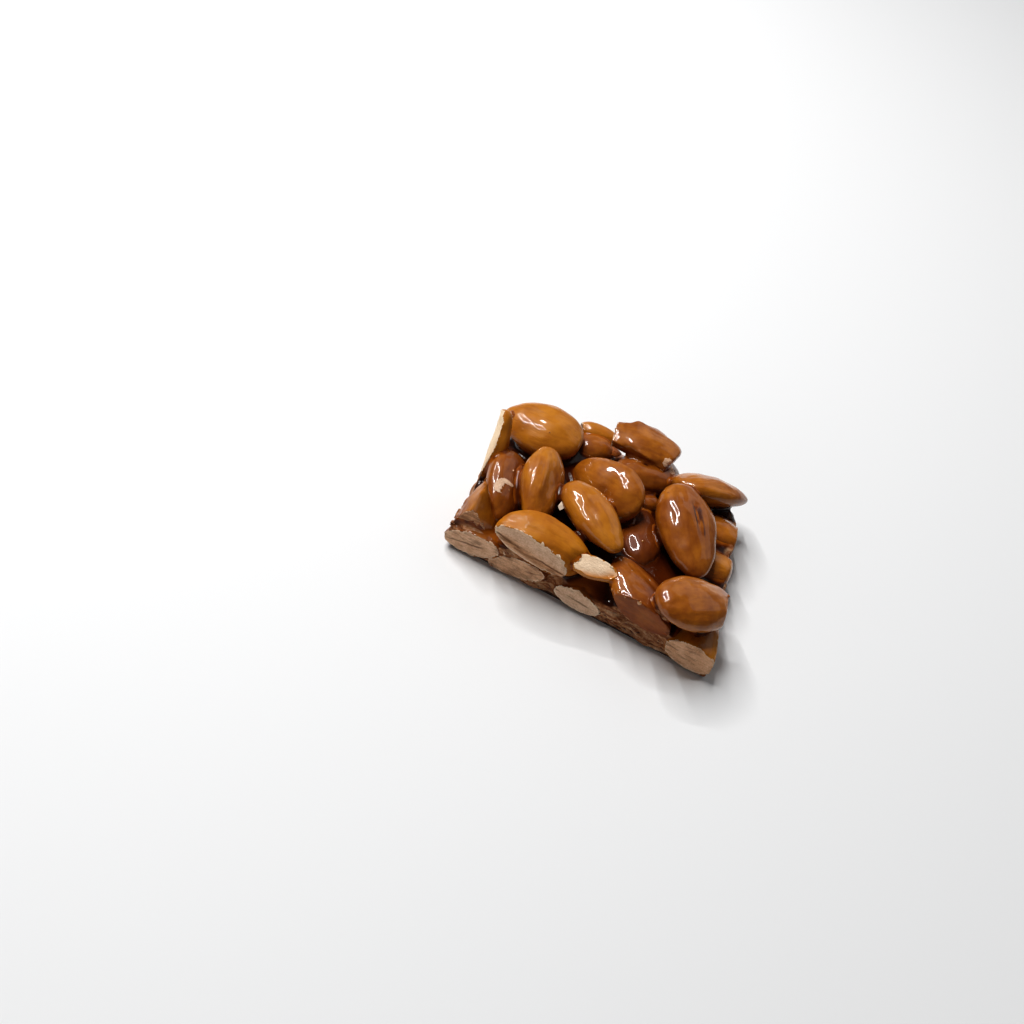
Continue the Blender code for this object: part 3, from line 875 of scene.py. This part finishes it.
def torn_tree():
    """Geometry Nodes tree that lays thin shards on a torn surface, along the level line of each spot."""
    inputs = {
        "Seed": "Int",
        "Per Square Metre": "Float",
        "Tilt": "Float",
        "Smallest": "Vector",
        "Largest": "Vector",
    }
    sheet, given = new_tree("torn_shards", inputs)
    density = sheet.kept("torn") * given["Per Square Metre"]
    sockets = {"Mesh": given["Geometry"], "Density": density, "Seed": given["Seed"]}
    spread = sheet.node("GeometryNodeDistributePointsOnFaces", {"distribute_method": "RANDOM"}, sockets)
    facing = Wire(sheet.tree, spread.socket.node.outputs["Normal"])
    sockets = {0: (0.0, 0.0, 1.0), 1: facing}
    level = sheet.node("ShaderNodeVectorMath", {"operation": "CROSS_PRODUCT"}, sockets)

    def random(kind, low, high, shift):
        """A random number or vector for each shard."""
        first, output = {"FLOAT": (2, 1), "FLOAT_VECTOR": (0, 0)}[kind]
        sockets = {"Seed": given["Seed"] + shift, first: low, first + 1: high}
        return sheet.node("FunctionNodeRandomValue", {"data_type": kind}, sockets, output)

    align = "FunctionNodeAlignRotationToVector"
    upright = sheet.node(align, {"axis": "Z"}, {"Vector": facing})
    along = sheet.node(align, {"axis": "X", "pivot_axis": "Z"}, {"Rotation": upright, "Vector": level})
    wobble = random("FLOAT_VECTOR", (-1.0, -1.0, -1.0), (1.0, 1.0, 1.0), 1).scaled(given["Tilt"])
    sockets = {"Rotation": along, "Rotate By": wobble}
    turned = sheet.node("FunctionNodeRotateRotation", {"rotation_space": "LOCAL"}, sockets)
    shard = sheet.node("GeometryNodeMeshIcoSphere", None, {"Radius": 0.5, "Subdivisions": 1})
    size = random("FLOAT_VECTOR", given["Smallest"], given["Largest"], 2)
    sockets = {"Geometry": spread, "Offset": facing.scaled(SET_IN)}
    spots = sheet.node("GeometryNodeSetPosition", None, sockets)
    sockets = {"Points": spots, "Instance": shard, "Rotation": turned, "Scale": size}
    laid = sheet.node("GeometryNodeInstanceOnPoints", None, sockets)
    settings = {"data_type": "FLOAT", "domain": "INSTANCE"}
    sockets = {"Geometry": laid, "Name": "shade", "Value": random("FLOAT", 0.0, 1.0, 3)}
    laid = sheet.node("GeometryNodeStoreNamedAttribute", settings, sockets)
    single = sheet.node("GeometryNodeRealizeInstances", None, {"Geometry": laid})
    here = sheet.node("GeometryNodeInputPosition")
    sockets = {"Vector": here, "Scale": 1400.0, "Detail": 1.0}
    shift = sheet.node("ShaderNodeTexNoise", None, sockets, "Color")
    shift = shift.vector("SUBTRACT", (0.5, 0.5, 0.5)).scaled(0.5 * MM)
    ragged = sheet.node("GeometryNodeSetPosition", None, {"Geometry": single, "Offset": shift})
    return end_tree(ragged, given["Finish"], False)


def shard_finish(name, shine, *stops):
    """Splinters from glassy dark to cracked and pale, each with a tone of its own."""
    material, shader, sheet, here = new_finish(name)
    fibres = here.vector("MULTIPLY", (0.2, 0.2, 1.0)).grain(2400.0, 3.0, 0.65)
    tone = sheet.painted("shade") + (fibres - 0.5) * 0.5
    tone.ramp(*stops).into(shader["Base Color"])
    (tone * 0.5 + 0.25).math("MINIMUM", 0.75).into(shader["Roughness"])
    shader["Specular IOR Level"].default_value = shine
    (fibres * 0.00012).bump(0.8).into(shader["Normal"])
    return material


def torn_ground(rim_only):
    """The shattered faces of the caramel and the smeared cuts of the kernels, with how torn each face is."""
    places, faces, torn = [], [], []

    def add(face, mesh_points, amount):
        faces.append([len(places) + corner for corner in range(len(face.vertices))])
        places.extend(mesh_points[index] for index in face.vertices)
        torn.append(amount)

    share = knife * np.clip(away / (0.3 * MM) - 0.5, 0.0, 1.0) * (0.2 if rim_only else 1.0) * (1.0 - rising)
    for face in caramel.data.polygons:
        amount = float(share[list(face.vertices)].min())
        if amount > 0.1 and face.center.z > CLEAR_OF_FLOOR:
            add(face, points, amount)
    for node, (_, _, smeared, sealed) in KERNELS.items():
        if sealed > 0.5:
            continue
        data = finished[node].data
        apart = column(data.attributes["rim_distance"].data, "value")
        kernel_points = [vertex.co for vertex in data.vertices]
        for face in data.polygons:
            near_rim = float(apart[list(face.vertices)].max())
            amount = 0.4 * (near_rim < 0.5 * MM) if rim_only else max(0.0, smeared - SMEARED_FROM) * 8.0
            if near_rim >= 0.0 and amount > 0.02:
                add(face, kernel_points, amount)
    data = bpy.data.meshes.new("torn_ground")
    data.from_pydata(places, [], faces)
    data.attributes.new("torn", "FLOAT", "FACE").data.foreach_set("value", np.array(torn, np.float32))
    return data


def lay_shards(name, ground, **values):
    """Torn bits over the ground, as one piece."""
    thing = placed(name, ground)
    shards = thing.modifiers.new("shards", "NODES")
    shards.node_group = shard_tree
    give(shards, **values)
    plain(thing)
    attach(thing, "root")


shard_tree = torn_tree()
shattered = shard_finish(
    "shattered_caramel",
    0.4,
    (0.0, (0.085, 0.024, 0.007)),
    (0.35, (0.190, 0.064, 0.022)),
    (0.62, (0.300, 0.130, 0.055)),
    (0.88, (0.420, 0.230, 0.125)),
    (1.0, (0.620, 0.420, 0.270)),
)
lay_shards(
    "caramel_splinters",
    torn_ground(False),
    seed=5,
    tilt=0.10,
    per_square_metre=SPLINTERS,
    smallest=(0.6 * MM, 0.18 * MM, 0.16 * MM),
    largest=(2.2 * MM, 0.50 * MM, 0.40 * MM),
    finish=shattered,
)
pale_crumbs = shard_finish(
    "pale_crumbs",
    0.5,
    (0.0, (0.220, 0.110, 0.050)),
    (0.5, (0.560, 0.380, 0.240)),
    (1.0, (0.860, 0.720, 0.540)),
)
lay_shards(
    "caramel_crumbs",
    torn_ground(True),
    seed=11,
    tilt=3.0,
    per_square_metre=CRUMBS,
    smallest=(0.12 * MM, 0.12 * MM, 0.1 * MM),
    largest=(0.5 * MM, 0.35 * MM, 0.3 * MM),
    finish=pale_crumbs,
)


# Bubbles
# Air that rose through the hot caramel and stopped under its skin, as domes of up to a millimetre. Most
# sit in the thick film of the front right kernel, and the rest low down between the kernels.

# kernel, spot as shares of its box, radius in mm
BUBBLES = (
    ("almond_front_right", (0.27, 0.05, 0.86), 0.50),
    ("almond_front_right", (0.20, 0.12, 0.70), 0.38),
    ("almond_front_right", (0.54, 0.03, 0.90), 0.60),
    ("almond_front_right", (0.36, 0.02, 0.84), 0.25),
    ("almond_middle_broad", (0.30, 0.10, 0.45), 0.30),
    ("almond_left_shaded", (0.70, 0.35, 0.80), 0.25),
    ("almond_left_shaded", (0.55, 0.60, 0.92), 0.35),
    ("almond_middle_sunken", (0.60, 0.30, 0.95), 0.30),
    ("almond_back_middle", (0.30, 0.40, 0.95), 0.35),
    ("almond_back_left", (0.62, 0.30, 0.80), 0.25),
    ("almond_right_scarred", (0.12, 0.70, 0.75), 0.28),
    ("almond_under_right", (0.40, 0.95, 0.70), 0.30),
)
DOME_HEIGHT = 0.7
DOME_SUNK = 0.15


def bubble_finish():
    """Clear amber skin over a pocket of air: pale gold, smooth and shiny."""
    material, shader, _, here = new_finish("bubble_skin")
    haze = here.grain(900.0, 2.0).band(0.3, 0.7)
    haze.blend((0.300, 0.100, 0.015, 1.0), (0.520, 0.240, 0.075, 1.0)).into(shader["Base Color"])
    (haze * 0.06 + 0.08).into(shader["Roughness"])
    shader["Specular IOR Level"].default_value = 0.5
    shader["Coat Weight"].default_value = 1.0
    shader["Coat Roughness"].default_value = 0.03
    return material


def spot_on(node, at):
    """The point of a finished kernel nearest to a spot in its box, and the way out from there."""
    _, nearest, facing, _ = finished[node].closest_point_on_mesh(Vector(in_box(node, at)))
    return nearest, facing


domes = bmesh.new()
for node, at, radius in BUBBLES:
    nearest, facing = spot_on(node, at)
    squat = Matrix.Diagonal((radius * MM, radius * MM, radius * DOME_HEIGHT * MM, 1.0))
    turn = facing.to_track_quat("Z", "Y").to_matrix().to_4x4()
    place = Matrix.Translation(nearest - facing * radius * DOME_SUNK * MM) @ turn @ squat
    bmesh.ops.create_icosphere(domes, subdivisions=3, radius=1.0, matrix=place)
for face in domes.faces:
    face.smooth = True
bubble_mesh = bpy.data.meshes.new("caramel_bubbles")
domes.to_mesh(bubble_mesh)
domes.free()
bubble_mesh.materials.append(bubble_finish())
bubbles = placed("caramel_bubbles", bubble_mesh)
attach(bubbles, "root")


# Loose shards
# Bits of kernel under 5 mm that stuck where they fell: a pale one on edge between two kernels near the
# front, a brown one on the end of the back left kernel, and two lower down.

# name: kernel it leans on, spot as shares of its box, length, width and thickness in mm, heading and rise
# in degrees, whether it is pale flesh
SHARDS = {
    "shard_pale_middle": ("almond_middle_crossing", (0.04, 0.40, 0.35), (3.6, 2.4, 0.8), 60, 55, True),
    "shard_brown_back": ("almond_back_left", (0.12, 0.32, 0.90), (2.6, 1.7, 0.9), 150, 25, False),
    "shard_brown_gap": ("almond_back_gap", (0.98, 0.75, 0.62), (4.8, 3.4, 1.2), 20, -10, False),
    "shard_pale_back": ("almond_under_back", (0.10, 0.80, 0.85), (2.8, 1.7, 0.7), 70, 10, True),
}
SHARD_CORNERS = 22
SHARD_BEVEL = 0.07 * MM
FIRST_SHARD_SEED = 3


def shard(name, node, at, size, heading, rise, pale, seed):
    """An angular chip, thin along its own Z, from the hull of points scattered in its box."""
    scattered = np.random.default_rng(seed).uniform(-0.5, 0.5, (SHARD_CORNERS, 3)) * size
    mesh = bmesh.new()
    corners = [mesh.verts.new(place * MM) for place in scattered]
    hull = bmesh.ops.convex_hull(mesh, input=corners)
    bmesh.ops.delete(mesh, geom=list(set(hull["geom_interior"] + hull["geom_unused"])), context="VERTS")
    bmesh.ops.bevel(mesh, geom=list(mesh.edges), offset=SHARD_BEVEL, segments=1, affect="EDGES")
    bmesh.ops.recalc_face_normals(mesh, faces=mesh.faces)
    turn = Matrix.Rotation(math.radians(heading), 4, "Z") @ Matrix.Rotation(math.radians(-rise), 4, "Y")
    nearest, _ = spot_on(node, at)
    mesh.transform(Matrix.Translation(nearest) @ turn)
    data = bpy.data.meshes.new(name)
    mesh.to_mesh(data)
    mesh.free()
    paint(data, "shade", np.full(len(data.vertices), 0.65 if pale else 0.05))
    data.materials.append(chip_flesh if pale else chip_skin)
    thing = placed(name, data)
    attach(thing, "root")


chip_flesh = shard_finish("chip_flesh", 0.4, (0.0, (0.45, 0.30, 0.19)), (1.0, (0.86, 0.74, 0.60)))
chip_skin = shard_finish("chip_skin", 0.6, (0.0, (0.300, 0.080, 0.010)), (1.0, (0.560, 0.260, 0.060)))
for seed, (name, details) in enumerate(SHARDS.items(), FIRST_SHARD_SEED):
    shard(name, *details, seed)


# Studio
# A pale paper floor under one wide soft lamp from behind and above, two weak ones, and four narrow lamps in
# a frame, which the glaze mirrors as thin bright outlines. The camera looks down on the cut front.

FLOOR_HALF = 3.0
FLOOR_TONE = 0.77
ROOM_COLOUR = (0.93, 0.96, 1.0, 1.0)
ROOM_STRENGTH = 0.08
FRAME_AWAY = 0.8
STRIP_WIDTH = 0.014
LENS = 42.19

floor_mesh = bmesh.new()
bmesh.ops.create_grid(floor_mesh, x_segments=1, y_segments=1, size=FLOOR_HALF)
floor_data = bpy.data.meshes.new("paper_floor")
floor_mesh.to_mesh(floor_data)
floor_mesh.free()
floor = placed("paper_floor", floor_data)
paper, paper_shader, _, _ = new_finish("pale_paper")
paper_shader["Base Color"].default_value = (FLOOR_TONE, FLOOR_TONE, FLOOR_TONE, 1.0)
paper_shader["Roughness"].default_value = 0.7
floor_data.materials.append(paper)

room = bpy.data.worlds.new("studio_room")
room.use_nodes = True
room.node_tree.nodes["Background"].inputs["Color"].default_value = ROOM_COLOUR
room.node_tree.nodes["Background"].inputs["Strength"].default_value = ROOM_STRENGTH
bpy.context.scene.world = room


def lamp(name, place, size, power):
    """A rectangular soft lamp that faces the piece."""
    data = bpy.data.lights.new(name, "AREA")
    data.shape = "RECTANGLE"
    data.size, data.size_y = size
    data.energy = power
    thing = placed(name, data)
    thing.location = place
    thing.rotation_euler = (middle - Vector(place)).to_track_quat("-Z", "Y").to_euler()
    return thing


middle = Vector((0.0, 0.0, 0.01))
over = Vector((-0.48, 0.23, 0.85)).normalized()
long_way = Vector((0.57, -0.80, 0.0))
long_way = (long_way - over * long_way.dot(over)).normalized()
short_way = over.cross(long_way)
# which way a strip runs, how far it stands off the middle of the frame, its length, its power
STRIPS = (
    (long_way, short_way * 0.115, 0.46, 2.4),
    (long_way, short_way * -0.115, 0.46, 2.4),
    (short_way, long_way * 0.222, 0.23, 1.2),
    (short_way, long_way * -0.222, 0.23, 1.2),
)
for number, (run, aside, length, power) in enumerate(STRIPS):
    strip = lamp(f"frame_strip_{number}", middle + over * FRAME_AWAY + aside, (length, STRIP_WIDTH), power)
    facing = (middle - strip.location).normalized()
    level = (run - facing * run.dot(facing)).normalized()
    strip.rotation_euler = Matrix((level, (-facing).cross(level), -facing)).transposed().to_euler()
lamp("soft_backdrop", (0.36, 0.78, 0.68), (1.1, 0.62), 1.2)
lamp("soft_sky", (-0.2, 1.2, 0.25), (2.0, 0.35), 0.45)
lamp("soft_front", (-0.3, -0.9, 0.2), (1.0, 0.4), 1.15)

# The camera looks down at 46 degrees on the front, turned 14 degrees to the left and rolled
camera_data = bpy.data.cameras.new("camera")
camera_data.sensor_width = 36.0
camera_data.lens = LENS
camera_data.clip_start = 0.01
camera = placed("camera", camera_data)
ahead = Vector((-0.168, 0.674, -0.719)).normalized()
right = Vector((0.877, 0.435, 0.203))
right = (right - ahead * right.dot(ahead)).normalized()
above = right.cross(ahead)
camera.rotation_euler = Matrix((right, above, -ahead)).transposed().to_euler()
camera.location = Vector((0.0273, -0.2103, 0.2180))
bpy.context.scene.camera = camera
bpy.context.scene.view_settings.view_transform = "Standard"
bpy.context.scene.view_settings.look = "Medium High Contrast"
